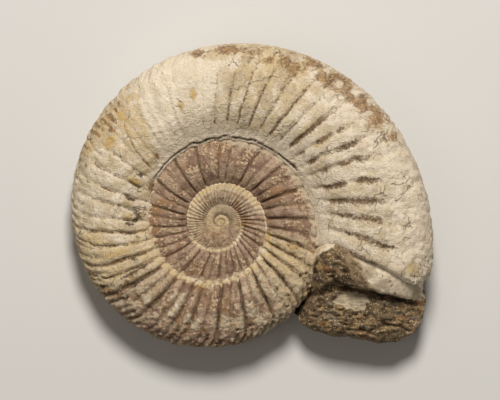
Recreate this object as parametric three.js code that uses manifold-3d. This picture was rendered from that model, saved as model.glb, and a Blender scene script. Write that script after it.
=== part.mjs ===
// An ammonite fossil lying on its side: a loosely coiled, ribbed shell turned to stone, with a lump
// of the rock it was found in still filling its mouth.
// Millimetres, +Z up, standing on z = 0, with the origin under the middle of the object.
//
// The shell is a tube that grows as it winds round a centre. Angles are turned anticlockwise seen
// from above, and they run backwards along the shell: from the lip, at LIP_ANGLE, into the centre.
// Each turn of the tube hides the outer part of the turn before it, and the line where it sits on
// that turn is called the seam.
import * as THREE from 'three';
import { mergeVertices } from 'three/addons/utils/BufferGeometryUtils.js';
import Module from 'manifold-3d';

// The coil
const LIP_ANGLE = -11; // degrees, at the seam
const VENTER_RADIUS = 84.4; // centre to the outer edge, at 0 degrees
const VENTER_GROWTH = 0.1119; // natural log of the growth per radian
const SEAM_RADIUS = 39.7; // centre to the seam, at 0 degrees, before the coil's off-centre is taken off
const SEAM_GROWTH = 0.104;
const SEAM_TIGHTENING = 0.0013; // the inner turns wind in a little faster
const OFF_CENTRE = 0.045; // the coil was pressed a little off centre, as a share of the radius
const OFF_CENTRE_ANGLE = 45;
const HIDDEN_SHARE = 0.918; // seam radius over the outer radius of the turn that it hides
const TURNS = 3; // whole turns that are modelled, outside the first chamber
const TURN = 360;

// The tube's section: fattest at CROWN of the way from the seam to the outer edge
const HALF_THICKNESS = 17; // at 0 degrees
const CROWN = 0.38;
const SHOULDER_SHARE = 0.34; // share of the rows that climb from the seam to the crown
const OUTER_ROUNDNESS = 0.86; // power of the sine and cosine: 1 is an ellipse, less is squarer
const INNER_ROUNDNESS = 1.4;

// The ribs: [angle, ribs counted from the lip], a rib every 7 to 10 degrees
const RIB_COUNTS = [[-11, 0], [4, 2], [27, 5], [47, 8], [92.5, 15], [149.5, 23], [210.5, 31],
  [294.6, 42], [349, 48.5], [404.5, 54], [500, 64], [605, 75], [709, 87]];
const RIB_HEIGHT = 0.95; // groove to crest, on the last turn
const LEAN_NEAR = 3.5; // degrees that a rib swings forward over the flank
const LEAN_FAR = 6; // and further, close to the outer edge

// The mesh
const SECTION_ROWS = 9; // from the seam to the outer edge
const SHOWN_ROWS = 6; // of those, the rows that show between two seams, on the inner turns
const SMOOTH_STEP = 6; // degrees between sections where the ribs are too small to model

// The rock in the mouth, seen from above, in the shell's own frame
const ROCK_OUTLINE = [[50, -6], [66, -12], [79, -20], [81.6, -28], [81.2, -34], [79.6, -40.5],
  [74.5, -45.8], [67.5, -48.6], [58, -47.4], [49.5, -46.8], [41.5, -45.4], [34.6, -42.6],
  [31.2, -38.6], [32.6, -33.4], [34, -26], [34.5, -18], [37, -11]];
const ROCK_TOP = 13.5; // above the shell's middle plane
const ROCK_BASE = -14.5; // below it
const ROCK_PROFILE = [[0.3, 0], [0.6, 0.02], [0.82, 0.1], [0.94, 0.25], [1, 0.46], [0.985, 0.66],
  [0.92, 0.84], [0.78, 0.95], [0.55, 0.99], [0.28, 1]]; // [share of the outline, share of the height]
const ROCK_TAPER = 0.3; // share of its thickness that it loses towards the shell's outer edge
const ROCK_ROUGHNESS = 0.9;
const GAP = 0.3; // between the rock and the shell

// How it lies: the thick end of the shell lifts the coil, and the ribs it rests on are worn flat
const REST_TILT = -3; // degrees about Y
const REST_DEPTH = 14.7; // from the middle of the coil down to the surface it lies on

const radians = THREE.MathUtils.degToRad;

// ---------------------------------------------------------------- the coil

function seamRadius(angle) {
  const a = radians(angle);
  const offCentre = 1 - OFF_CENTRE * Math.cos(a - radians(OFF_CENTRE_ANGLE));
  return SEAM_RADIUS * offCentre * Math.exp(-SEAM_GROWTH * a - SEAM_TIGHTENING * a * a);
}

function venterRadius(angle) {
  if (angle > LIP_ANGLE + TURN) return seamRadius(angle - TURN) / HIDDEN_SHARE;
  return VENTER_RADIUS * Math.exp(-VENTER_GROWTH * radians(angle));
}

function crownRadius(angle) {
  return THREE.MathUtils.lerp(seamRadius(angle), venterRadius(angle), CROWN);
}

function halfThickness(angle) {
  return HALF_THICKNESS * Math.exp(-VENTER_GROWTH * radians(angle));
}

// How far round the outer quarter of the section, from 0 at the outer edge to a right angle at the
// crown, a given radius lies.
function turnAtRadius(angle, radius) {
  const crown = crownRadius(angle);
  const share = (radius - crown) / (venterRadius(angle) - crown);
  return Math.acos(Math.min(1, share ** (1 / OUTER_ROUNDNESS)));
}

function seamHeight(angle) {
  const before = angle + TURN;
  const turn = turnAtRadius(before, seamRadius(angle));
  return halfThickness(before) * Math.sin(turn) ** OUTER_ROUNDNESS;
}

// A point of the upper half of the section, as [radius, height]. share runs from 0 at the seam to 1
// at the outer edge.
function sectionPoint(angle, share) {
  const crown = crownRadius(angle);
  const thick = halfThickness(angle);
  if (share >= SHOULDER_SHARE) {
    const turn = (Math.PI / 2) * (1 - share) / (1 - SHOULDER_SHARE);
    const out = Math.max(0, Math.cos(turn)) ** OUTER_ROUNDNESS;
    const up = Math.max(0, Math.sin(turn)) ** OUTER_ROUNDNESS;
    return [crown + (venterRadius(angle) - crown) * out, thick * up];
  }
  const seam = Math.asin((seamHeight(angle) / thick) ** (1 / INNER_ROUNDNESS));
  const turn = THREE.MathUtils.lerp(seam, Math.PI / 2, share / SHOULDER_SHARE);
  const reach = (crown - seamRadius(angle)) / Math.cos(seam) ** INNER_ROUNDNESS;
  const back = Math.max(0, Math.cos(turn)) ** INNER_ROUNDNESS;
  return [crown - reach * back, thick * Math.sin(turn) ** INNER_ROUNDNESS];
}

// ---------------------------------------------------------------- ribs

function lean(share) {
  return LEAN_NEAR * share + LEAN_FAR * share ** 4;
}

function ribHeight(angle, share, onCrest) {
  const grown = halfThickness(angle) / HALF_THICKNESS;
  const fade = Math.min(1, share / SHOULDER_SHARE);
  return RIB_HEIGHT * grown * fade * (onCrest ? 0.5 : -0.5);
}

// Where rib number count from the lip begins.
function ribAngle(count) {
  const last = RIB_COUNTS.findIndex(([, n]) => n >= count);
  const [a1, n1] = RIB_COUNTS[Math.max(1, last)];
  const [a0, n0] = RIB_COUNTS[Math.max(1, last) - 1];
  return a0 + (a1 - a0) * (count - n0) / (n1 - n0);
}

// The sections along the shell: one in each groove and one on each crest, then even steps.
function shellSections() {
  const sections = [];
  const ribs = RIB_COUNTS.at(-1)[1];
  for (let half = 0; half <= 2 * ribs; half++)
    sections.push({ angle: ribAngle(half / 2), ribbed: true, onCrest: half % 2 === 1 });
  const end = LIP_ANGLE + TURNS * TURN;
  for (let angle = sections.at(-1).angle + SMOOTH_STEP; angle <= end; angle += SMOOTH_STEP)
    sections.push({ angle, ribbed: false });
  return sections;
}

// ---------------------------------------------------------------- the shell's mesh

// A point on the surface, on the upper side (side 1) or the lower one (side -1), moved out by grow.
function surfacePoint(section, share, side, grow) {
  const angle = section.angle - lean(share);
  const [r, z] = sectionPoint(angle, share);
  const [rBack, zBack] = sectionPoint(angle, Math.max(0, share - 0.01));
  const [rOn, zOn] = sectionPoint(angle, Math.min(1, share + 0.01));
  const length = Math.hypot(rOn - rBack, zOn - zBack);
  const rib = section.ribbed ? ribHeight(angle, share, section.onCrest) : 0;
  const out = rib + grow;
  const radius = r - out * (zOn - zBack) / length;
  const height = z + out * (rOn - rBack) / length;
  return [radius * Math.cos(radians(angle)), radius * Math.sin(radians(angle)), side * height];
}

function indexedGeometry(points, faces) {
  const geometry = new THREE.BufferGeometry();
  geometry.setAttribute('position', new THREE.Float32BufferAttribute(points.flat(), 3));
  geometry.setIndex(faces.flat());
  return geometry;
}

// Triangles between two rows of points that run side by side, whatever their numbers of points.
// far says how far along each point of a row lies.
function zip(faces, rowA, rowB, farA, farB, flip) {
  let i = 0;
  let j = 0;
  while (i < rowA.length - 1 || j < rowB.length - 1) {
    const stepA = j === rowB.length - 1 || (i < rowA.length - 1 && farA[i + 1] <= farB[j + 1]);
    const third = stepA ? rowA[i + 1] : rowB[j + 1];
    faces.push(flip ? [rowA[i], third, rowB[j]] : [rowA[i], rowB[j], third]);
    if (stepA) i++;
    else j++;
  }
}

function shellGeometry(grow = 0) {
  const points = [];
  const faces = [];
  const add = (point) => points.push(point) - 1;
  const sections = shellSections();
  const firstTurn = sections.filter(({ angle }) => angle <= LIP_ANGLE + TURN);
  const inner = sections.slice(firstTurn.length - 1);

  // The last turn of the shell, all round its section: from the upper seam to the lower one.
  const along = firstTurn.map(({ angle }) => angle);
  const rows = [];
  for (let k = 0; k <= 2 * SECTION_ROWS; k++) {
    const side = k <= SECTION_ROWS ? 1 : -1;
    const share = (side === 1 ? k : 2 * SECTION_ROWS - k) / SECTION_ROWS;
    rows.push(firstTurn.map((section) => add(surfacePoint(section, share, side, grow))));
    if (k > 0) zip(faces, rows[k - 1], rows[k], along, along, false);
  }

  // The inner turns, on each side, up to the seam of the turn outside them.
  const inwards = inner.map(({ angle }) => angle);
  const outside = sections.map(({ angle }) => angle + TURN).filter((angle) => angle <= inwards.at(-1));
  for (const side of [1, -1]) {
    const strip = [];
    for (let k = 0; k < SHOWN_ROWS; k++) {
      const share = k / SECTION_ROWS;
      const shared = rows[side === 1 ? k : 2 * SECTION_ROWS - k].at(-1);
      const added = inner.slice(1).map((section) => add(surfacePoint(section, share, side, grow)));
      strip.push([shared, ...added]);
      if (k > 0) zip(faces, strip[k - 1], strip[k], inwards, inwards, side < 0);
    }
    const seam = [...(side === 1 ? rows[0] : rows.at(-1)), ...strip[0].slice(1)];
    zip(faces, strip.at(-1), seam.slice(0, outside.length), inwards, outside, side < 0);

    // The middle: a low cap over the first chamber.
    const middle = add([0, 0, side * (halfThickness(inwards.at(-1)) + grow)]);
    const rim = seam.slice(outside.length - 1);
    rim.push(...strip.slice(1).map((row) => row.at(-1)), rim[0]);
    for (let i = 0; i + 1 < rim.length; i++)
      faces.push(side > 0 ? [rim[i], rim[i + 1], middle] : [rim[i + 1], rim[i], middle]);
  }

  // The mouth: a crescent from the lip's outline to the turn that the lip sits on.
  const lip = rows.map((row) => row[0]);
  const saddle = rows.slice(SHOWN_ROWS - 1, 2 * SECTION_ROWS - SHOWN_ROWS + 2).map((row) => row.at(-1));
  const evenly = (row) => row.map((_, i) => i / (row.length - 1));
  zip(faces, lip, saddle, evenly(lip), evenly(saddle), false);

  return indexedGeometry(points, faces);
}

// ---------------------------------------------------------------- the rock in the mouth

// A closed lump with a broken surface: rings of the outline, drawn in towards the base and the top.
function lumpGeometry() {
  const corners = ROCK_OUTLINE.map(([x, y]) => new THREE.Vector2(x, y));
  const middle = new THREE.Vector2();
  for (const corner of corners) middle.add(corner);
  middle.divideScalar(corners.length);
  const outline = new THREE.SplineCurve([...corners, corners[0]]);
  const around = 3 * corners.length;
  const points = [];
  const faces = [];
  const add = (point) => points.push(point) - 1;
  const addRough = (x, y, level) => {
    const outward = THREE.MathUtils.smoothstep(Math.hypot(x, y), SEAM_RADIUS, VENTER_RADIUS);
    const z = THREE.MathUtils.lerp(ROCK_BASE, ROCK_TOP, level) * (1 - ROCK_TAPER * outward);
    const broad = Math.sin(0.42 * x + 0.3 * z) * Math.sin(0.36 * y - 0.2 * z);
    const fine = Math.sin(1.1 * x + 0.9 * y);
    return add([x, y, z + ROCK_ROUGHNESS * (broad + 0.5 * fine)]);
  };
  const rings = ROCK_PROFILE.map(([width, level]) => {
    const ring = [];
    for (let i = 0; i < around; i++) {
      const [x, y] = outline.getPoint(i / around).sub(middle).multiplyScalar(width).add(middle).toArray();
      ring.push(addRough(x, y, level));
    }
    return ring;
  });
  const base = addRough(middle.x, middle.y, 0);
  const top = addRough(middle.x, middle.y, 1);
  for (let i = 0; i < around; i++) {
    const next = (i + 1) % around;
    faces.push([rings[0][i], rings[0][next], base]);
    faces.push([rings.at(-1)[next], rings.at(-1)[i], top]);
    for (let k = 0; k + 1 < rings.length; k++) {
      faces.push([rings[k][i], rings[k + 1][i], rings[k][next]]);
      faces.push([rings[k][next], rings[k + 1][i], rings[k + 1][next]]);
    }
  }
  return indexedGeometry(points, faces);
}

// ---------------------------------------------------------------- solids

const wasm = await Module();
wasm.setup();

function solidFrom(geometry) {
  const merged = mergeVertices(geometry);
  return new wasm.Manifold(new wasm.Mesh({
    numProp: 3,
    vertProperties: new Float32Array(merged.attributes.position.array),
    triVerts: new Uint32Array(merged.index.array),
  }));
}

function geometryFrom(solid) {
  const { vertProperties, triVerts } = solid.getMesh();
  const geometry = new THREE.BufferGeometry();
  geometry.setAttribute('position', new THREE.BufferAttribute(vertProperties, 3));
  geometry.setIndex(new THREE.BufferAttribute(triVerts, 1));
  geometry.computeVertexNormals();
  return geometry;
}

const tilt = new THREE.Euler(0, radians(REST_TILT), 0);

// The shell, worn flat where it lies.
function wornShellGeometry() {
  const up = new THREE.Vector3(0, 0, 1).applyQuaternion(new THREE.Quaternion().setFromEuler(tilt).invert());
  return geometryFrom(solidFrom(shellGeometry()).trimByPlane(up.toArray(), -REST_DEPTH));
}

// The rock is what the shell, grown by the gap, leaves of the lump.
function rockGeometry() {
  const left = solidFrom(lumpGeometry()).subtract(solidFrom(shellGeometry(GAP))).decompose();
  const largest = left.reduce((a, b) => (a.volume() > b.volume() ? a : b));
  return geometryFrom(largest);
}

function namedMesh(name, geometry, colour, roughness) {
  const material = new THREE.MeshStandardMaterial({ color: colour, roughness, metalness: 0 });
  const mesh = new THREE.Mesh(geometry, material);
  mesh.name = name;
  return mesh;
}

// ---------------------------------------------------------------- the fossil

const coil = new THREE.Group();
coil.add(namedMesh('ammonite', wornShellGeometry(), 0xc9b691, 0.85));
coil.add(namedMesh('matrix_rock', rockGeometry(), 0x6b5a45, 0.95));
coil.rotation.copy(tilt);

const fossil = new THREE.Group();
fossil.add(coil);
const box = new THREE.Box3().setFromObject(fossil, true);
coil.position.set(-(box.min.x + box.max.x) / 2, -(box.min.y + box.max.y) / 2, REST_DEPTH);

export default fossil;
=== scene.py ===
"""An ammonite fossil lying on its side, with a lump of the rock it was found in filling its mouth.

The shell is one closed mesh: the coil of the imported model, carved with branching ribs, chips, cracks and
pits. The rock is a second one. What lies where on them is kept in point attributes, and the materials turn
those into stone. Lengths are in millimetres until a mesh is made, angles in degrees. Angles are turned
anticlockwise seen from above and run backwards along the shell, from the lip into the centre. The last
turn is the outer one, which grew last. A share runs across a turn, from 0 at its seam to 1 at its outer
edge. The last number of each noise is its seed.
"""
import math

import bpy
import numpy as np
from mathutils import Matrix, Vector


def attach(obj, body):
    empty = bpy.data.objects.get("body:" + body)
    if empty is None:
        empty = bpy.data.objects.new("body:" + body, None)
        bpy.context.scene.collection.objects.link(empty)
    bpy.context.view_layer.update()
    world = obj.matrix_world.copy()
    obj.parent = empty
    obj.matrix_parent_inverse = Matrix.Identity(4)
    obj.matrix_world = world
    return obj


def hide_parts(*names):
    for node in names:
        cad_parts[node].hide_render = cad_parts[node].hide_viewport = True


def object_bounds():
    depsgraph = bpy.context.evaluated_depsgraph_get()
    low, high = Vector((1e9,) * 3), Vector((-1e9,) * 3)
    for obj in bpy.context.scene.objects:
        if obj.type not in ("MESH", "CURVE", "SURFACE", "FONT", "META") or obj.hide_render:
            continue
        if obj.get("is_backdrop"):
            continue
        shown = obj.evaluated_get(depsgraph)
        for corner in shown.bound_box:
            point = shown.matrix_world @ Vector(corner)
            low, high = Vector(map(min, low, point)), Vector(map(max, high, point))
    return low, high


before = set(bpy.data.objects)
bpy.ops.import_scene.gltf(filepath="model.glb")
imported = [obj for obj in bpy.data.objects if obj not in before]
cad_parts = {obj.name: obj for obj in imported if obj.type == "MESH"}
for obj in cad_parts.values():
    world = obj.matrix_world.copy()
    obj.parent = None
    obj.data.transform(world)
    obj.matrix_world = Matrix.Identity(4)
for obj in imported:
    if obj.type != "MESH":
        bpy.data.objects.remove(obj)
cad_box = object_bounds()

MM = 0.001

# ---- the coil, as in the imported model

LIP_ANGLE = -11
VENTER_RADIUS = 84.4  # centre to the outer edge, at 0 degrees
VENTER_GROWTH = 0.1119  # natural log of the growth per radian
SEAM_RADIUS = 39.7  # centre to the line where a turn sits on the one before it
SEAM_GROWTH = 0.104
SEAM_TIGHTENING = 0.0013
OFF_CENTRE = 0.045
OFF_CENTRE_ANGLE = 45
HIDDEN_SHARE = 0.918  # a turn's seam, over the outer edge of the turn that it sits on
TURNS = 5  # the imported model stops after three
TURN = 360
HALF_THICKNESS = 17
CROWN = 0.38  # where a turn is thickest, from its seam to its outer edge
SHOULDER_SHARE = 0.34  # the share that the crown is at
OUTER_ROUNDNESS = 0.86
INNER_ROUNDNESS = 1.4
LEAN_NEAR = 3.5
LEAN_FAR = 6  # added to that near the outer edge
# (share, degrees)
LIP_SWEEP = [(0, 0), (0.1, 0.2), (0.3, 1.4), (0.45, 2.4), (0.6, 2.8), (0.75, 2.4), (0.9, 1), (1, 0)]
LIP_SWEEP_FADE = [(-11, 1), (20, 0.9), (48, 0.45), (80, 0)]  # (angle, how much of it)
RIB_COUNTS = np.array([(-30, -2.5), (-11, 0), (4, 2), (27, 5), (47, 8), (92.5, 15), (149.5, 23), (210.5, 31),
                       (294.6, 42), (349, 48.5), (404.5, 54), (500, 64), (605, 75), (709, 87), (900, 113.5),
                       (1069, 144), (1429, 196), (1789, 250)])  # (angle, ribs since the lip)
REST_TILT = -3  # about Y
COIL_CENTRE = (-12.59, -10.59, 14.7)  # where the coil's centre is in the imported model


def curve(x, points):
    """A value that follows straight lines between given (x, value) points."""
    xs, values = np.array(points, float).T
    return np.interp(x, xs, values)


def smooth(x, low, high):
    """Rises from 0 to 1, with soft ends."""
    t = np.clip((x - low) / (high - low), 0, 1)
    return t * t * (3 - 2 * t)


def fade(x, low, high):
    """Falls from 1 to 0, with soft ends."""
    return 1 - smooth(x, low, high)


def window(x, start, full, fading, end):
    """Rises from 0 to 1, stays there and falls back to 0."""
    return smooth(x, start, full) * fade(x, fading, end)


def seam_radius(angle):
    a = np.radians(angle)
    off_centre = 1 - OFF_CENTRE * np.cos(a - math.radians(OFF_CENTRE_ANGLE))
    return SEAM_RADIUS * off_centre * np.exp(-SEAM_GROWTH * a - SEAM_TIGHTENING * a * a)


def venter_radius(angle):
    free = VENTER_RADIUS * np.exp(-VENTER_GROWTH * np.radians(angle))
    return np.where(angle > LIP_ANGLE + TURN, seam_radius(angle - TURN) / HIDDEN_SHARE, free)


def crown_radius(angle):
    return seam_radius(angle) + CROWN * (venter_radius(angle) - seam_radius(angle))


def half_thickness(angle):
    return HALF_THICKNESS * np.exp(-VENTER_GROWTH * np.radians(angle))


def height_at(angle, radius):
    """Height of the upper side, at a radius outside the seam."""
    crown = crown_radius(angle)
    share = np.clip((radius - crown) / (venter_radius(angle) - crown), 0, 1)
    turn = np.arccos(share ** (1 / OUTER_ROUNDNESS))
    return half_thickness(angle) * np.sin(turn) ** OUTER_ROUNDNESS


def section(angle, share):
    """Radius and height of the upper side."""
    crown = crown_radius(angle)
    thick = half_thickness(angle)
    turn = (math.pi / 2) * (1 - np.maximum(share, SHOULDER_SHARE)) / (1 - SHOULDER_SHARE)
    out = crown + (venter_radius(angle) - crown) * np.maximum(0, np.cos(turn)) ** OUTER_ROUNDNESS
    up = thick * np.sin(turn) ** OUTER_ROUNDNESS
    seam = np.arcsin((height_at(angle + TURN, seam_radius(angle)) / thick) ** (1 / INNER_ROUNDNESS))
    climb = seam + (math.pi / 2 - seam) * np.minimum(share / SHOULDER_SHARE, 1)
    reach = (crown - seam_radius(angle)) / np.cos(seam) ** INNER_ROUNDNESS
    wall = crown - reach * np.maximum(0, np.cos(climb)) ** INNER_ROUNDNESS
    near = share < SHOULDER_SHARE
    return np.where(near, wall, out), np.where(near, thick * np.sin(climb) ** INNER_ROUNDNESS, up)


def lean(share, angle):
    """How far forward the ribs and the lip lean, by how far out they are. Near the lip they lean further."""
    return LEAN_NEAR * share + LEAN_FAR * share ** 4 + curve(share, LIP_SWEEP) * curve(angle, LIP_SWEEP_FADE)


def placed(points):
    """Points of the coil's own frame, in the row frame, in metres."""
    tilt = math.radians(REST_TILT)
    turn = [[math.cos(tilt), 0, -math.sin(tilt)], [0, 1, 0], [math.sin(tilt), 0, math.cos(tilt)]]
    return (points @ np.array(turn) + COIL_CENTRE) * MM


# ---- noise

SIGNS = [(x, y) for x in (-1, 1) for y in (-1, 1)]
SLOPES = [(x, y, 0) for x, y in SIGNS] + [(x, 0, y) for x, y in SIGNS] + [(0, x, y) for x, y in SIGNS]
SLOPES = np.array(SLOPES, float)  # the directions that a bump can slope in
HASH_PRIMES = (73856093, 19349663, 83492791)
SEED_PRIME = 40503
MIX_PRIME = 1274126177
WORD = 0xFFFFFFFF
BEYOND = 9  # further than any distance that matters, in the searches for what is nearest


def scrambled(cell, seed):
    """A fixed whole number for each cell of a grid, with no pattern in it."""
    h = seed * SEED_PRIME
    for axis, prime in enumerate(HASH_PRIMES):
        h = h ^ (cell[..., axis] * prime)
    h &= WORD
    for shift in (13, 16):
        h = ((h ^ (h >> shift)) * MIX_PRIME) & WORD
    return h ^ (h >> 15)


def chance(cell, seed):
    """A fixed number from 0 to 1 for each cell of a grid, with no pattern in it."""
    return scrambled(cell, seed) % 1000 / 1000


def noise(points, size, seed):
    """Smooth noise, about -1 to 1, with bumps of that size."""
    p = points / size
    cell = np.floor(p).astype(np.int64)
    f = p - cell
    blend = f ** 3 * (f * (f * 6 - 15) + 10)
    total = np.zeros(points.shape[:-1])
    for corner in np.ndindex(2, 2, 2):
        slope = SLOPES[scrambled(cell + corner, seed) % len(SLOPES)]
        weight = np.where(corner, blend, 1 - blend).prod(-1)
        total += weight * (slope * (f - corner)).sum(-1)
    return total


def fractal(points, size, seed, octaves=4):
    return sum(noise(points, size / 2 ** k, seed + k) / 2 ** k for k in range(octaves))


def cells(points, size, seed):
    """For seeds scattered one to a cell: how far the nearest is, in sizes, and a random number of its own."""
    p = points / size
    cell = np.floor(p).astype(np.int64)
    nearest = np.full(points.shape[:-1], float(BEYOND))
    own = np.zeros(points.shape[:-1])
    for step in np.ndindex(3, 3, 3):
        home = cell + np.array(step) - 1
        at = np.stack([chance(home, seed + k) for k in range(3)], -1)
        far = np.linalg.norm(home + at - p, axis=-1)
        closer = far < nearest
        nearest = np.where(closer, far, nearest)
        own = np.where(closer, chance(home, seed + 3), own)
    return nearest, own


# ---- ribs

RIB_RELIEF = [
    (-11, 0.9), (40, 1), (92, 0.9), (104, 0.4), (130, 0.38), (145, 0.7), (175, 0.9), (200, 1.5), (215, 1.9),
    (260, 2), (330, 1.8), (349, 1.6), (420, 1.3), (600, 1), (709, 0.85), (880, 0.65), (1069, 0.5),
    (1429, 0.25), (1789, 0.03)]  # (angle, millimetres from groove to crest)
# (angle, share of that relief that is left on the outer half)
OUTER_RELIEF = [
    (-11, 0.3), (36, 0.4), (48, 0.9), (94, 0.8), (106, 0.9), (150, 0.6), (195, 0.65), (225, 0.9), (349, 1)]
GROOVE_WIDTH = [
    (-11, 0.19), (30, 0.18), (60, 0.14), (100, 0.13), (150, 0.13), (190, 0.16), (230, 0.2), (349, 0.19),
    (410, 0.14), (560, 0.15), (709, 0.21)]  # (angle, share of the rib)
VARIETY = [
    (-11, 0.3), (150, 0.35), (205, 0.45), (235, 0.6), (349, 0.4), (410, 0.6), (430, 0.85), (475, 0.8),
    (520, 0.55), (709, 0.35), (1069, 0.2)]  # (angle, how much shallower than the deepest some grooves are)
MID_LEVEL = 0.42  # how high the uncarved shell lies, from crest to groove
BRANCH_SHARE = 0.56  # where the ribs split, from the seam to the outer edge
BRANCH_SPREAD = (-0.05, 0.16)  # how much sooner or later some of them do
RIB_JITTER = 0.06  # in ribs
SPLIT_JITTER = 0.04
ODD_SPLIT_CHANCE = 0.15
FIRST_RIB = -3
TRIPLES_END = 22  # up to this rib, every second one splits in three
SPLITS_END = 50


def groove_lists():
    """Grooves, in ribs from the lip: those that run all the way, and those that start where ribs split."""
    draw = np.random.default_rng(11)
    full = np.arange(FIRST_RIB, int(RIB_COUNTS[-1, 1]) + 1)
    full = full + draw.uniform(-RIB_JITTER, RIB_JITTER, len(full))
    split = []
    for rib in range(FIRST_RIB, SPLITS_END):
        parts = 3 if rib % 2 and rib < TRIPLES_END else 2
        if draw.random() < ODD_SPLIT_CHANCE:
            parts = 5 - parts if rib < TRIPLES_END else 1
        for part in range(1, parts):
            start = BRANCH_SHARE + draw.uniform(*BRANCH_SPREAD)
            split.append((rib + part / parts + draw.uniform(-SPLIT_JITTER, SPLIT_JITTER), start))
    return full, np.array(split)


FULL_GROOVES, SPLIT_GROOVES = groove_lists()


def nearest_groove(count, grooves):
    """How far the nearest groove is, in ribs, and which one it is."""
    after = np.clip(np.searchsorted(grooves, count), 1, len(grooves) - 1)
    before = after - 1
    which = np.where(count - grooves[before] < grooves[after] - count, before, after)
    return np.abs(count - grooves[which]), which


def ribs(angle, share, points):
    """How deep in a groove each point lies, 0 to 1: one between whole ribs, and one between branches."""
    wander = 0.09 * noise(points, 11, 21) + 0.05 * noise(points, 4, 22)
    count = np.interp(angle, *RIB_COUNTS.T) + wander
    width = curve(angle, GROOVE_WIDTH)
    far, which = nearest_groove(count, FULL_GROOVES)
    own = 1.1 - curve(angle, VARIETY) * np.sin(which * 1.43) ** 2
    whole = own * np.exp(-(far / (width * (1 - 0.25 * smooth(share, 0.5, 0.8)))) ** 2)
    far, which = nearest_groove(count, SPLIT_GROOVES[:, 0])
    begun = smooth(share, 0, 0.12) * smooth(share - SPLIT_GROOVES[which, 1], -0.03, 0.12)
    soft = smooth(angle, 150, 190)
    branch = begun * (1 - 0.35 * soft) * np.exp(-(far / ((0.62 + 0.25 * soft) * width)) ** 2)
    branch *= angle < LIP_ANGLE + TURN + 20
    return whole, branch


# ---- marks

# Each mark is (angle, radius, half its length along the radius, half its width, strength), on the upper side.
RUST = [
    (87, 68.8, 2.2, 7, 1), (97.5, 67.5, 2, 5, 0.9), (79, 68.5, 1.6, 4, 0.5), (63.8, 67.2, 4.5, 3, 0.8),
    (72, 67.6, 2.4, 2.2, 0.7), (60, 73.5, 2.5, 5, 0.6), (32.6, 74.7, 4.2, 3, 0.9),
    (40.5, 74.9, 2.5, 3, 0.9), (26, 77.5, 2, 2.5, 0.8), (48, 76, 2.5, 5, 0.5), (7, 80.5, 1.6, 2, 0.4),
    (136, 60, 4, 1.3, 1), (139, 58.8, 4.2, 0.8, 1), (139.6, 56.4, 2, 1, 0.9), (141.8, 61.6, 3, 0.7, 1),
    (144.8, 61.8, 3.2, 0.8, 1), (147.8, 61.8, 3, 0.7, 0.9), (150.8, 61.8, 2.8, 0.6, 0.9),
    (153.6, 61.4, 2.6, 0.6, 0.9), (156.4, 61, 2, 0.5, 0.7), (211, 53, 2.6, 1.5, 0.9),
    (215.6, 50.8, 2.8, 2, 0.8), (130.6, 63, 3, 1, 0.7), (133, 62.4, 3.4, 0.8, 0.8),
    (152.7, 31.4, 2, 2.6, 0.9), (156, 36.2, 2.5, 1, 0.5), (201.5, 42, 3.2, 0.8, 1), (213, 42, 4, 1.6, 0.7),
    (133.7, 36.2, 1.3, 1.3, 0.9), (283, 30.2, 2.6, 1, 0.8), (222, 45, 3, 3, 0.5), (250, 46, 3, 3, 0.5),
    (262, 44, 2, 3, 0.6), (288, 41, 3, 2.4, 0.7), (275, 33, 4, 1.4, 0.5)]
YELLOW = [
    (-13.8, 79, 3.4, 3.4, 0.8), (101.3, 51.4, 3.1, 1.4, 1), (107.8, 48.7, 1.8, 1.8, 0.9),
    (80.4, 59.9, 4, 3.4, 0.8), (132.8, 58, 5.5, 2.2, 1), (135, 52, 5, 1.2, 0.9), (139, 47, 4.5, 0.9, 0.8),
    (143.9, 54.2, 3.4, 3.6, 1), (154.2, 37.4, 3.4, 1.6, 1), (168.7, 37.3, 2.4, 1.7, 0.7),
    (176.6, 36.6, 2.6, 1.6, 0.7), (197, 44, 9, 1.8, 0.9), (207, 46, 7, 1.4, 0.7), (188, 52, 5, 3, 0.7),
    (191, 56, 3, 3, 0.6), (341, 31.4, 3.2, 1.5, 1.3), (333, 34, 5, 1.6, 0.7), (326, 36, 6, 1.5, 0.6),
    (349, 31, 4, 1.6, 0.6), (38, 52, 6, 1.6, 0.7), (46, 50, 8, 1.8, 0.6), (110, 40, 3, 4, 0.4),
    (140, 36, 3, 5, 0.5), (163, 55, 6, 5, 0.35), (121, 64, 2, 3, 0.2), (141, 60.6, 4, 6, 0.8),
    (150, 60.6, 3.4, 6, 0.75), (92, 66.5, 2.5, 8, 0.5), (68, 66, 5, 9, 0.6)]
GREY = [
    (80.5, 65.6, 3, 2.6, 0.8), (67.3, 63, 5, 2.4, 0.8), (76, 45, 6, 1.6, 0.9), (70.5, 54, 5, 1.6, 0.6),
    (79, 54.8, 1.2, 1, 0.7), (60.5, 60, 4, 2.2, 0.7), (35, 72, 2.5, 2, 0.6), (28, 43, 4, 3, 0.5),
    (118, 58, 6, 5, 0.25), (182, 66, 3, 3, 0.4), (196, 62, 4, 6, 0.5), (6, 52, 5, 1.8, 0.5)]
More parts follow.
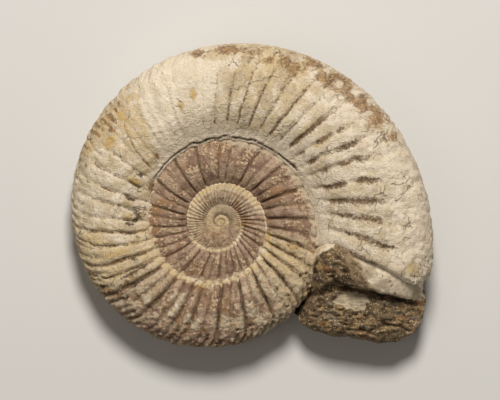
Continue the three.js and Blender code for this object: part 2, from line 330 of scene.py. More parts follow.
BLACK = [
    (179.4, 33.4, 1.7, 1.7, 1.1), (173.6, 33.6, 1.9, 1.8, 0.9), (176.5, 33, 1.4, 1.8, 1),
    (166, 36, 2.2, 0.6, 1), (181.5, 36.4, 3.4, 1, 0.9), (187.8, 36, 3.2, 0.6, 0.8), (192, 33, 1, 0.7, 0.8),
    (203.5, 37.5, 1.6, 1, 1), (210.6, 38.4, 8.5, 0.8, 1), (217.2, 41, 4.4, 0.8, 0.9),
    (219.5, 47.5, 3, 1.2, 0.8), (226, 49, 3, 2, 0.6), (209.3, 54, 2.4, 0.9, 1),
    (212.6, 51.8, 1.8, 0.9, 0.9), (92.6, 39.9, 1.2, 0.8, 0.9), (99.1, 39.5, 2.8, 0.35, 0.8),
    (112.4, 37.9, 2.2, 0.4, 0.5), (150.1, 36.9, 2, 0.7, 0.8), (213, 47, 3, 0.8, 0.7),
    (187, 58, 5, 0.8, 0.5), (-8.4, 68.5, 5, 1.3, 0.9), (-5.1, 52, 2.6, 1.1, 0.8),
    (-15.6, 80.4, 2.4, 0.6, 0.9)]
PALE = [
    (243, 38.4, 1.9, 1.8, 1), (242.1, 41.6, 1.5, 2, 0.9), (251.3, 40.9, 2, 1.7, 1),
    (257.2, 42, 2.6, 2.6, 0.8), (282.8, 35, 1.6, 1.3, 1), (291, 36, 2.4, 1.6, 0.6), (220, 41, 2, 2.4, 0.8),
    (227.6, 42.3, 2.4, 2.4, 0.8), (250.7, 45.4, 1.6, 1.4, 0.8), (236, 46, 2.4, 2, 0.5),
    (297, 30.5, 4, 1.6, 0.9), (302, 33, 4.5, 1, 0.7), (309, 33, 6, 1, 0.8), (317, 35, 7, 1.2, 0.8),
    (263, 47.5, 1.6, 1.4, 0.6), (272, 45.5, 2, 1.4, 0.6)]
# Each crack is a line through (angle, radius) points, with its depth.
CRACKS = [
    ([(128, 61), (129, 57), (131, 55), (133.4, 55), (135.7, 52.7), (139.6, 43.6), (142.2, 35)], 0.35),
    ([(155.6, 55), (156.6, 42)], 0.5), ([(149.1, 39.4), (149.5, 35.5)], 0.7),
    ([(156.1, 39), (157.3, 34.3)], 0.7), ([(164.3, 39.3), (166, 35.7)], 0.8),
    ([(171.1, 40.3), (173.1, 34.9)], 0.8), ([(163.2, 55.4), (164.5, 42.6)], 0.55),
    ([(177.4, 44.3), (178.8, 39), (180, 34.2)], 0.7), ([(186.7, 39.7), (188.6, 32.2)], 0.6),
    ([(185.7, 58.5), (191, 51), (193.6, 42), (195.4, 34.6)], 0.75), ([(183.1, 54.7), (186.4, 42.9)], 0.45),
    ([(200.7, 57.5), (202.7, 55.7), (206.6, 51.1), (208, 45.8), (210.6, 30.8)], 0.9),
    ([(212.4, 55.2), (216.8, 48.7), (217.3, 41.7)], 0.8), ([(107.6, 45.6), (111.6, 47)], 0.25),
    ([(102.4, 45.8), (99, 46.2)], 0.25), ([(92, 52), (94.5, 46), (97, 45)], 0.15),
    ([(118, 41), (126, 43), (134, 40.5)], 0.2), ([(117, 60), (114, 52), (117, 44)], 0.15),
    ([(188.5, 63), (186, 59), (184.6, 54)], 0.35), ([(173, 55), (176, 50), (174.8, 44)], 0.2)]
CRACK_WIDTH = 0.75
SEAM_CRACK = (26, 36, 140, 152)  # a window of angles in which the last turn has parted from the one before it
TEETH = (146, 160, 332, 342)  # a window of angles in which the seam is filled with a bright toothed band
# (angle, reach)
TALL_TEETH = [
    (277.5, 2.6), (195.5, 2.8), (241, 1.8), (249, 1.4), (262, 1.3), (288, 1.1), (222, 1.6), (303, 1.2)]
TOOTH_WIDTH = 2.6


def blots(points, marks, seed, ragged):
    """How strongly each point is covered by the marks, whose edges are ragged."""
    found = np.zeros(len(points))
    edge = ragged * (0.8 * noise(points, 2.6, seed) + 0.6 * noise(points, 0.9, seed + 1))
    for angle, radius, along, across, strength in marks:
        a = math.radians(angle)
        x = points[:, 0] * math.cos(a) + points[:, 1] * math.sin(a) - radius
        y = points[:, 1] * math.cos(a) - points[:, 0] * math.sin(a)
        inside = 1 - np.hypot(x / along, y / across) + edge
        found = np.maximum(found, strength * smooth(inside, -0.3, 0.6))
    return found


def around(line):
    """(angle, radius) points as (x, y) points."""
    return [(r * math.cos(math.radians(a)), r * math.sin(math.radians(a))) for a, r in line]


def near_line(points, corners, width):
    """1 on a line through (x, y) points, falling to 0 at that distance from it."""
    nearest = np.full(len(points), float(BEYOND))
    for start, end in zip(np.array(corners), np.array(corners[1:])):
        leg = end - start
        out = points[:, :2] - start
        t = np.clip(out @ leg / (leg @ leg), 0, 1)
        nearest = np.minimum(nearest, np.linalg.norm(out - t[:, None] * leg, axis=1))
    return np.clip(1 - nearest / width, 0, 1)


# ---- what covers the shell

# The dark brown covering of grooves, cracks, pits and clefts is partly real infill and partly painted shade.
# Black holds black spots and some painted shade in grooves.
COVERS = ("white", "yellow", "mauve", "grey", "dirt", "rust", "black", "frill")
# How strong each covering is, by angle.
WHITE_ZONE = [
    (-11, 0.75), (24, 0.85), (46, 0.75), (58, 0.58), (78, 0.48), (92, 0.65), (106, 1), (127, 1), (131, 0.4),
    (150, 0.5), (170, 0.55), (186, 0.5), (205, 0.3), (216, 0.1), (240, 0), (300, 0), (330, 0.35),
    (349, 0.25)]
YELLOW_ZONE = [
    (-11, 0.05), (30, 0.12), (45, 0.4), (60, 0.7), (86, 0.6), (103, 0.12), (127, 0.12), (131, 0.65),
    (150, 0.5), (172, 0.3), (190, 0.65), (210, 0.55), (225, 0.25), (245, 0.05), (290, 0.1), (312, 0.45),
    (328, 0.75), (349, 0.6), (365, 0.1), (480, 0.08), (540, 0.15), (700, 0.25), (800, 0.35), (900, 0.55),
    (1069, 0.7)]
MAUVE_ZONE = [
    (-11, 0), (208, 0), (222, 0.4), (238, 0.72), (256, 1), (288, 0.9), (304, 0.5), (322, 0.25), (342, 0.25),
    (352, 0.7), (366, 1), (510, 0.95), (590, 0.8), (640, 0.95), (705, 0.8), (730, 0.6), (880, 0.5),
    (915, 0.45), (945, 0.58), (1030, 0.62), (1062, 0.5), (1090, 0.5), (1200, 0.35), (1330, 0.25),
    (1395, 0.6), (1430, 0.2), (1789, 0.15)]
# From about 1100 to 1240 degrees the grey is partly painted shade, darkening the fourth turn deep in the
# centre.
GREY_ZONE = [
    (-11, 0.12), (60, 0.1), (100, 0.05), (205, 0.1), (218, 0.6), (236, 0.45), (256, 0.15), (290, 0.3),
    (312, 0.45), (335, 0.25), (355, 0.2), (500, 0.15), (580, 0.3), (700, 0.15), (1000, 0.2), (1069, 0.4),
    (1100, 0.9), (1190, 0.9), (1240, 0.4), (1429, 0.3)]
FRILL_ZONE = [
    (-11, 0), (205, 0), (220, 0.6), (290, 0.8), (330, 0.3), (352, 0.6), (372, 1), (500, 1), (560, 0.8),
    (700, 0.8), (725, 0.2), (910, 0.1), (945, 0.75), (1030, 0.7), (1069, 0)]
# How dark the grooves are made, by angle: partly real brown infill, partly painted shade in the grooves.
DIRT_AND_SHADE_ZONE = [
    (-11, 0.85), (20, 1), (88, 0.95), (97, 0.45), (104, 0.12), (128, 0.12), (140, 0.5), (180, 0.7),
    (215, 1), (260, 1), (330, 0.95), (420, 0.95), (709, 0.9), (740, 0.6), (1069, 0.7), (1400, 0.5),
    (1500, 0.2)]
# Depths in millimetres: everywhere, and added where the shell is plastered, crumbly and broken.
CREASES = (0, 1.05, 0, 0.6)
ROUGHNESS = (0.13, 0.35, 0.4, 0.2)
GRAIN = (0.1, 0.22, 0.54, 0.1)
CONSTRICTIONS = (1149, 1296, 1415)  # angles at which a raised line crosses the fourth turn
CONSTRICTION_LEAN = 32  # how far forward they run, over a share of 1
CONSTRICTION_WIDTH = 2.6
# (radius, angle) of a chipped layer's edge
LAYER_EDGE = [(30, 145), (35, 142), (43.6, 139.6), (52.7, 135.7), (55, 131.5), (57, 128.6), (66, 127.5)]


class Patch:
    """A stretch of the shell, while it is carved and covered."""

    def __init__(self, angle, share, points):
        self.angle = angle
        self.share = share
        self.points = points
        self.at = angle - lean(share, angle)  # where the point is, now that the ribs lean
        self.radius = np.hypot(points[:, 0], points[:, 1])
        self.last = angle <= LIP_ANGLE + TURN
        self.outer = smooth(share, 0.42, 0.66)
        self.plaster = fade(angle, 30, 64) * smooth(share, 0.3, 0.5)
        self.crumbly = self.last * smooth(angle, 205, 235)
        self.broken = self.last * window(angle, 128, 145, 215, 250)
        self.rough = fractal(points, 6, 31)
        self.fine = fractal(points, 2.4, 35, 3)
        self.cover = {}

    def noise(self, size, seed):
        return noise(self.points, size, seed)

    def add(self, name, amount):
        """Lays a covering on wherever there is less of it."""
        self.cover[name] = np.maximum(self.cover[name], amount)

    def clear(self, names, amount):
        for name in names.split():
            self.cover[name] = self.cover[name] * (1 - amount)

    def depth(self, depths):
        everywhere, plaster, crumbly, broken = depths
        return everywhere + plaster * self.plaster + crumbly * self.crumbly + broken * self.broken

    def carve_ribs(self):
        self.whole, branch = ribs(self.angle, self.share, self.points)
        reach = np.where(self.last, 1 + (curve(self.angle, OUTER_RELIEF) - 1) * self.outer, 1)
        wall = np.where(self.angle < 160, smooth(self.share, 0.03, 0.17), smooth(self.share, -0.03, 0.06))
        self.groove = np.maximum(self.whole * (1 - 0.25 * self.outer * self.last), branch) * wall
        self.relief = curve(self.angle, RIB_RELIEF) * reach * (MID_LEVEL - self.groove)

    def roughen(self):
        """Creases, lumps, grains, faint ripples at the top left, and pits."""
        crease = 0.3 - np.abs(fractal(self.points * [1, 1.6, 1], 7, 91, 3))
        self.relief += crease * self.depth(CREASES)
        self.relief += self.rough * self.depth(ROUGHNESS) * np.where(self.last, 1, 0.4)
        grain = self.depth(GRAIN) * np.where(self.last, 1, 0.8)
        self.relief += self.fine * grain * fade(self.angle, 800, 1100)
        ripples = self.last * window(self.at, 96, 106, 126, 134) * smooth(self.share, 0.12, 0.3)
        wave = self.at * 75 + 300 * self.share ** 2 + 70 * self.noise(9, 99)
        self.relief += 0.2 * ripples * np.sin(np.radians(wave))
        near, own = cells(self.points, 2.9, 41)
        pits = self.last * smooth(own, 0.62, 0.7) * fade(near, 0.15, 0.4)
        self.pits = pits * (0.3 * self.plaster + self.crumbly)
        self.relief -= 0.7 * self.pits

    def lay_zones(self):
        """The coverings that change along the coil, and the darkening of its grooves: partly brown infill,
        partly painted shade.
        """
        wobble = 6 * self.noise(9, 115) + 3 * self.noise(3.5, 116)
        zone = self.angle + self.last * wobble
        self.cover = {
            "white": curve(zone, WHITE_ZONE) * (1 - 0.35 * (1 - self.outer) * fade(self.angle, 20, 60)),
            "yellow": curve(zone, YELLOW_ZONE),
            "mauve": curve(zone, MAUVE_ZONE),
            "grey": curve(zone, GREY_ZONE),
            # The grooves are darkened: partly brown infill, partly painted shade.
            "dirt": self.groove ** np.where(self.angle < 50, 0.4, 0.75) * curve(self.angle, DIRT_AND_SHADE_ZONE),
            "rust": np.zeros(len(self.points)),
            "black": np.zeros(len(self.points)),
            "frill": curve(self.angle, FRILL_ZONE) * smooth(self.share, 0.08, 0.16),
        }
        patchy = fade(self.angle, 44, 58)
        self.clear("dirt", 0.25 * window(self.angle, 44, 56, 100, 140) * smooth(self.share, 0.15, 0.8))
        self.clear("dirt", 0.8 * patchy * fade(self.noise(8, 45), -0.42, 0))
        self.clear("dirt", 0.85 * patchy * self.outer)
        self.relief += 0.5 * self.fine * self.cover["dirt"] * patchy

    def fill_seams(self):
        """The pale and yellow edge inside the last turn, and the plaster that fills the seam below it."""
        # Up to about 150 degrees the wall inside the last turn is made pale: partly its own cream colour,
        # partly painted light lifting a wall that faces away from the lamp.
        pale = self.last * fade(self.share, 0.07, 0.16) * fade(self.angle, 140, 160)
        self.add("white", pale)
        self.clear("yellow dirt", 0.8 * pale)
        self.add("yellow", self.last * fade(self.share, 0.05, 0.13) * smooth(self.angle, 150, 180))
        ragged = self.share + 0.07 * self.noise(2.2, 113)
        filled = smooth(ragged, 0.575, 0.61) * window(self.angle, 349, 356, 430, 470)
        self.add("grey", filled)
        self.add("white", 0.75 * filled * fade(self.angle, 395, 420))
        self.clear("mauve dirt frill", filled)
        self.relief += 0.25 * filled

    def draw_inner_lines(self):
        """Pale lines and a yellow rim along the inner seams, the lines across the fourth turn, and a darker
        cleft along its inner seam. The pale line inside the third turn is a painted highlight, and the
        cleft's darkening is painted shade.
        """
        line = smooth(self.share, 0.59, 0.63) * smooth(self.angle, 690, 720)
        line = np.maximum(line, fade(self.share, 0.04, 0.1) * window(self.angle, 545, 580, 700, 716))
        rim = np.maximum(line, smooth(self.share, 0.4, 0.52) * window(self.angle, 725, 750, 850, 900))
        # Painted highlight: a pale line inside the third turn, where its inner wall would catch the light.
        line = np.maximum(line, fade(self.share, 0.05, 0.12) * window(self.angle, 890, 925, 1050, 1075))
        for start in CONSTRICTIONS:
            off = (self.angle + CONSTRICTION_LEAN * self.share - start) / CONSTRICTION_WIDTH
            ridge = np.exp(-off ** 2) * fade(self.share, 0.56, 0.64)
            self.relief += 0.14 * ridge
            line = np.maximum(line, ridge)
        # Painted shade: a shallow cleft along the fourth turn's inner seam is darkened.
        cleft = fade(self.share, 0.03, 0.16) * window(self.angle, 1225, 1260, 1385, 1420)
        self.relief -= 0.15 * cleft
        self.add("dirt", 0.7 * cleft)
        self.add("white", 0.55 * line)
        self.add("yellow", 0.7 * rim)
        self.clear("mauve dirt", 0.8 * rim)

    def mottle(self):
        """Grey streaks at the top right, and the mixed stone of the lower part, with darker pits and painted
        shade in its deepest grooves and along its outer rim.
        """
        streaks = self.last * window(self.angle, 52, 66, 86, 97) * smooth(self.share, 0.2, 0.35)
        self.add("grey", 0.7 * streaks * smooth(noise(self.points * [1, 0.4, 1], 6, 109), 0, 0.3))
        self.add("dirt", 0.9 * self.pits * self.crumbly)
        # Painted shade along the outer rim of the lower left.
        self.add("dirt", 0.5 * self.crumbly * smooth(self.share, 0.8, 1) * fade(self.angle, 300, 330))
        mixed = self.noise(7, 103) + 0.5 * self.noise(2.5, 104)
        mixed = self.crumbly * smooth(mixed, 0, 0.4)
        self.clear("mauve", 0.75 * mixed)
        self.add("grey", 0.7 * mixed)
        # Painted shade: black laid in the deepest grooves of the crumbly part.
        dark = smooth(self.groove, 0.5, 1) * smooth(self.noise(5, 105), -0.4, 0.1)
        self.add("black", 0.9 * self.crumbly * dark)

    def lay_marks(self):
        """Nodules and the marks of the upper side."""
        near, own = cells(self.points, 2.6, 47)
        nodules = self.crumbly * fade(near, 0.25, 0.45) * smooth(own, 0.5, 0.6) * smooth(own, 0.45, 1)
        nodules *= smooth(self.rough, -0.2, 0.2) * smooth(self.share, 0.12, 0.25)
        pale = np.maximum(blots(self.points, PALE, 51, 1), nodules)
        self.relief += 0.35 * pale
        self.add("white", (0.62 + 0.2 * self.crumbly) * pale)
        self.clear("mauve", pale)
        stained = self.last * window(self.angle, 22, 40, 74, 92) * window(self.share, 0.58, 0.7, 0.85, 0.97)
        self.add("rust", 0.8 * stained * smooth(self.noise(5, 95), -0.35, 0.2))
        self.add("rust", blots(self.points, RUST, 53, 0.6))
        yellow = blots(self.points, YELLOW, 55, 0.4)
        self.add("yellow", yellow)
        self.clear("white", yellow)
        self.add("grey", blots(self.points, GREY, 57, 0.7))
        self.clear("white", 0.5 * self.cover["grey"])
        self.add("black", blots(self.points, BLACK, 59, 0.75))

    def crack(self):
        """The single cracks, and the edge of a chipped layer."""
        unbroken = self.last * smooth(self.noise(3, 71), -0.5, -0.1)
        for line, depth in CRACKS:
            mark = unbroken * near_line(self.points, around(line), CRACK_WIDTH)
            self.relief -= depth * mark
            self.add("dirt", mark * min(1, 2.4 * depth))
        layer = smooth(curve(self.radius, LAYER_EDGE) - self.at, 0, 0.7) * smooth(self.at, 97, 104)
        self.relief += 0.25 * self.last * layer

    def part_seam(self):
        """The dark crack along the last turn's seam."""
        parted = self.last * window(self.at, *SEAM_CRACK)
        wander = 0.018 * self.noise(7, 97) + 0.014 * self.noise(2.4, 98)
        off = np.abs(self.share - 0.036 - wander)
        crack = parted * fade(off, 0.002, 0.011)
        self.relief += parted * (0.4 * fade(off, 0.012, 0.045) - 0.9 * crack)
        self.add("dirt", crack)
        self.add("black", 0.75 * crack)
        self.add("white", 0.6 * parted * fade(self.share, 0.01, 0.03))

    def tooth_seam(self):
        """The bright band along the last turn's seam, whose teeth reach onto the turn inside it."""
        gap = seam_radius(self.at - TURN) - self.radius
        reach = 1 + 0.6 * self.whole + 1.6 * self.noise(3.1, 61)
        for start, tall in TALL_TEETH:
            reach = np.maximum(reach, tall * (1 - np.abs(self.at - TURN - start) / TOOTH_WIDTH))
        teeth = window(self.at - TURN, *TEETH) * smooth(reach - gap, -0.25, 0.3)
        second = (self.angle > 500) & (self.angle < 720)
        edge = self.share + 0.02 * self.noise(3, 107) - 0.045 * fade(self.angle, 200, 218)
        ledge = self.last * window(self.angle, *TEETH) * fade(edge, 0.02, 0.075)
        band = np.maximum(np.where(second, teeth, 0), ledge)
        self.relief += 0.35 * band
        self.clear("white yellow mauve grey dirt frill", band)
        self.cover["white"] += 0.4 * band
        self.cover["yellow"] += 0.6 * band

    def weather(self):
        """Stains scattered over the underside."""
        stains = smooth(fractal(self.points, 14, 81), 0.1, 0.45)
        self.add("rust", 0.7 * smooth(fractal(self.points, 5, 84), 0.45, 0.75))
        self.add("yellow", 0.6 * stains)
        self.add("black", smooth(fractal(self.points, 3, 87), 0.62, 0.8) * smooth(self.groove, 0.3, 0.6))
        self.clear("white", 0.6 * stains)


def surface(angle, share, points, upper):
    """Height of the shell's relief, in millimetres, and how strongly each covering lies there."""
    patch = Patch(angle, share, points)
    shared = (patch.carve_ribs, patch.roughen, patch.lay_zones, patch.fill_seams, patch.draw_inner_lines,
              patch.mottle)
    above = (patch.lay_marks, patch.crack, patch.part_seam, patch.tooth_seam)
    for step in shared + (above if upper else (patch.weather,)):
        step()
    return patch.relief, np.stack([patch.cover[name] for name in COVERS], 1)


# ---- meshes

def put(name, data):
    """A new object in the scene."""
    made = bpy.data.objects.new(name, data)
    bpy.context.scene.collection.objects.link(made)
    return made


class Body:
    """Vertices, faces and coverings of one mesh, as it grows."""

    def __init__(self):
        self.points = []
        self.covers = []
        self.faces = []
        self.count = 0

    def add(self, points, cover):
        self.points.append(points)
        self.covers.append(cover)
        ids = np.arange(self.count, self.count + len(points))
        self.count += len(points)
        return ids

    def weave(self, grid, flip):
        """Quads over a grid of vertex numbers."""
        quads = np.stack([grid[:-1, :-1], grid[1:, :-1], grid[1:, 1:], grid[:-1, 1:]], -1).reshape(-1, 4)
        self.faces.extend((quads[:, ::-1] if flip else quads).tolist())

    def lace(self, row_a, row_b, far_a, far_b, flip):
        """Triangles between two rows that run side by side, whatever their numbers of points."""
        i = j = 0
        while i < len(row_a) - 1 or j < len(row_b) - 1:
            step_a = j == len(row_b) - 1 or (i < len(row_a) - 1 and far_a[i + 1] <= far_b[j + 1])
            third = row_a[i + 1] if step_a else row_b[j + 1]
            face = [int(row_a[i]), int(third), int(row_b[j])]
            self.faces.append(face if flip else face[::-1])
            i, j = (i + 1, j) if step_a else (i, j + 1)

    def fan(self, tip, rim, flip):
        """Triangles from one point to the edges of a rim."""
        for first, second in zip(rim, rim[1:]):
            face = [int(tip), int(first), int(second)]
            self.faces.append(face[::-1] if flip else face)

    def piece(self, name):
        points = np.clip(placed(np.concatenate(self.points)), *cad_box)
        mesh = bpy.data.meshes.new(name)
        mesh.from_pydata(points.tolist(), [], self.faces)
        covers = np.clip(np.concatenate(self.covers), 0, 1).astype(np.float32)
        for layer in range(2):
            found = mesh.attributes.new(f"cover_{layer + 1}", "FLOAT_COLOR", "POINT")
            found.data.foreach_set("color", covers[:, 4 * layer:4 * layer + 4].ravel())
        mesh.polygons.foreach_set("use_smooth", np.ones(len(mesh.polygons), bool))
        mesh.validate()
        return put(name, mesh)


# ---- the shell

ROWS = 84  # from the seam to the outer edge, on the upper side
SHOWN_ROWS = 56  # of those, the rows that show between two seams
COLUMN_STEP = 0.085  # column spacing on the outer edge, over the root of its radius
LIP_BREAK = (-13.3, 2.6)  # the outer edge is broken back past this angle, by this many millimetres
MIDDLE_HEIGHT = 0.92  # over half the innermost turn's thickness
MIDDLE_COVER = {"yellow": 0.5, "mauve": 0.3, "grey": 0.3, "dirt": 0.6, "black": 0.3}


def column_angles(start, end):
    angles = [start]
    while angles[-1] < end:
        angles.append(angles[-1] + math.degrees(COLUMN_STEP / math.sqrt(float(venter_radius(angles[-1])))))
    angles = np.array(angles)
    if len(angles) % 2 == 0:
        angles = angles[:-1]
    return start + (angles - start) * (end - start) / (angles[-1] - start)


def shell_grid(body, angles, shares, side):
    """A grid of carved shell, one column to an angle and one row to a share, as vertex numbers."""
    angle, share = np.meshgrid(angles, shares, indexing="ij")
    turned = angle - lean(share, angle)
    at = np.radians(turned)
    radius, height = section(turned, share)
    points = np.stack([radius * np.cos(at), radius * np.sin(at), side * height], -1)
    normal = side * np.cross(np.gradient(points, axis=1), np.gradient(points, axis=0))
    normal /= np.linalg.norm(normal, axis=-1, keepdims=True)
    flat = points.reshape(-1, 3)
    relief, cover = surface(angle.ravel(), share.ravel(), flat, side > 0)
    carved = flat + normal.reshape(-1, 3) * relief[:, None]
    break_angle, break_depth = LIP_BREAK
    broken = smooth(break_angle - turned.ravel(), 0, 4) * smooth(share.ravel(), 0.72, 0.95)
    carved[:, :2] *= (1 - break_depth * broken / radius.ravel())[:, None]
    return body.add(carved, cover).reshape(angle.shape)


def shell_half(body, side, outer_angles, inner_angles, rows, shown):
    """One side of the shell, without the mouth. Returns the last turn's grid."""
    shares = np.arange(rows + 1) / rows
    outer = shell_grid(body, outer_angles, shares if side > 0 else shares[:-1], side)
    inner = shell_grid(body, inner_angles[1:], shares[:shown + 1:2], side)
    flip = side > 0
    body.weave(outer, flip)
    body.weave(inner, flip)
    body.lace(outer[-1, :shown + 1], inner[0], shares[:shown + 1], shares[:shown + 1:2], flip)
    hidden = lean(shares[shown], inner_angles[-1])
    last_row = np.concatenate([outer[-1:, shown], inner[:, -1]])
    seam = np.concatenate([outer[:, 0], inner[:, 0]])
    seam_angles = np.concatenate([outer_angles, inner_angles[1:]]) + TURN
    closing = np.searchsorted(seam_angles, inner_angles[-1] - hidden)
    body.lace(last_row, seam[:closing], inner_angles - hidden, seam_angles[:closing], not flip)

    # The middle: a low cap over the first chamber.
    rim = np.concatenate([seam[closing - 1:], inner[-1, 1:], seam[closing - 1:closing]])
    height = side * MIDDLE_HEIGHT * float(half_thickness(inner_angles[-1]))
    cover = [MIDDLE_COVER.get(name, 0) for name in COVERS]
    body.fan(body.add(np.array([[0, 0, height]]), np.array([cover]))[0], rim, not flip)
    return outer


def make_shell():
    outer_angles = column_angles(LIP_ANGLE, LIP_ANGLE + TURN)
    inner_angles = column_angles(LIP_ANGLE + TURN, LIP_ANGLE + TURNS * TURN)
    body = Body()
    top = shell_half(body, 1, outer_angles, inner_angles, ROWS, SHOWN_ROWS)
    under = shell_half(body, -1, outer_angles[::2], inner_angles[::2], ROWS // 2, SHOWN_ROWS // 2)
    body.lace(top[:, -1], under[:, -1], outer_angles, outer_angles[::2], False)
    lip = np.concatenate([top[0], under[0, ::-1]])
    saddle = np.concatenate([top[-1, SHOWN_ROWS:], under[-1, SHOWN_ROWS // 2:][::-1]])
    body.lace(lip, saddle, np.linspace(0, 1, len(lip)), np.linspace(0, 1, len(saddle)), False)
    return body.piece("ammonite_fossil")


# ---- the lump of rock

ROCK_COVERS = ("pale", "slope", "roll", "crevice_shade", "gold", "stain", "yellow", "ashen")
ROCK_HEART = (57, -30)
ROCK_OUTLINE = [
    (36, -12), (40, -6), (50, -4), (60, -8), (70, -13), (78, -20), (80.8, -27.5), (81.6, -31),
    (81.2, -34.5), (80, -40.6), (77.2, -44.3), (73.7, -46.2), (70.8, -48.3), (66.3, -48.3), (58, -47.2),
    (51.2, -46), (42.9, -45.1), (33.4, -41.7), (31.2, -38.8), (27, -33), (31, -24), (34, -17)]
LIP_LINE = [
    (37, -14), (42.6, -12.2), (45.8, -9.4), (53.8, -12.2), (61.4, -16.2), (69.4, -20.2), (77.4, -25),
    (80.6, -29), (82, -31)]  # where the rock meets the shell's lip
FOOT_LINE = [
    (36, -25), (40, -25), (45, -23), (50, -25), (54.6, -27), (60.6, -27), (66.3, -28.5), (72, -30),
    (77.6, -31.1), (81, -30.8)]  # where its slope ends
LEDGE_HEIGHT = [(27, 2.5), (36, 4.6), (48, 5), (58, 4.6), (66, 3.4), (75, 1.2), (82, -0.8)]
# (y, x) of the lump's left edge
LEFT_LINE = [(-41.7, 31), (-38.6, 31.4), (-33.8, 33.4), (-29, 35.8), (-23.4, 37.2), (-15.4, 38)]
# (y, x) of the smooth brown roll
ROLL_LINE = [(-27.5, 59), (-26.6, 58.6), (-21, 55), (-11.4, 50.6), (-5, 48)]
PALE_FACE = [
    (44.8, -32.2), (48.2, -28.5), (52.7, -28.1), (58.8, -28.9), (59.9, -31.1), (58.8, -33), (58.4, -34.9),
    (56.5, -36), (52, -34.5), (47.4, -33)]
PALE_CORNER = [(34, -4), (49, -4), (46.2, -10.4), (42.2, -11.8), (39.6, -13.8), (38, -16.4), (34, -16.4)]
YELLOW_SPOT = (39.9, -17.9)
# Clefts: a line through (x, y) points, half-width and depth. Each is cut in and darkened with painted shade,
# as under the dome and at the foot of the slope.
CLEFTS = [
    ([(45.5, -22.4), (48, -24.6), (52, -26.2), (55, -27.6), (60, -27.9)], 1.6, 1.6),
    ([(60, -27.9), (66, -29.6), (72, -31), (77, -31.9)], 1.3, 1.3),
    ([(52, -43.4), (60, -43.6), (66, -41.2), (72, -41.8), (76, -44)], 1.4, 1.6),
    ([(39, -17.5), (42, -19.6), (46, -20.4), (49, -22.6)], 1.1, 0.6),
    ([(51, -37.5), (56, -38), (61, -37)], 0.9, 0.6), ([(33, -37), (40, -38.5), (45, -41.5)], 0.9, 0.5)]
ROCK_COLUMNS = 300
ROCK_TOP_RINGS = 76
ROCK_BASE_RINGS = 34
ROCK_MIDDLE = -3  # height of its widest ring, from the coil's middle plane
ROCK_BASE = -14.2
ROCK_GRAIN = np.array([0.65, 1, 1])  # the rock's streaks run from left to right
WELL_INSIDE = 9  # how far from an outline, at least


def inside_shape(points, corners, soft):
    """1 well inside a closed (x, y) outline, 0 well outside."""
    x, y = points[:, 0], points[:, 1]
    odd = np.zeros(len(points), bool)
    for (x0, y0), (x1, y1) in zip(corners, corners[1:] + corners[:1]):
        crosses = (y0 > y) != (y1 > y)
        odd ^= crosses & (x < x0 + (y - y0) / (y1 - y0 + 1e-9) * (x1 - x0))
    far = WELL_INSIDE * (1 - near_line(points, corners + corners[:1], WELL_INSIDE))
    return smooth(np.where(odd, far, -far), -soft, soft)


def wobbled(points, amount, size, seed):
    """The points, shifted about by noise."""
    return points + amount * np.stack([noise(points, size, seed + k) for k in range(3)], 1)


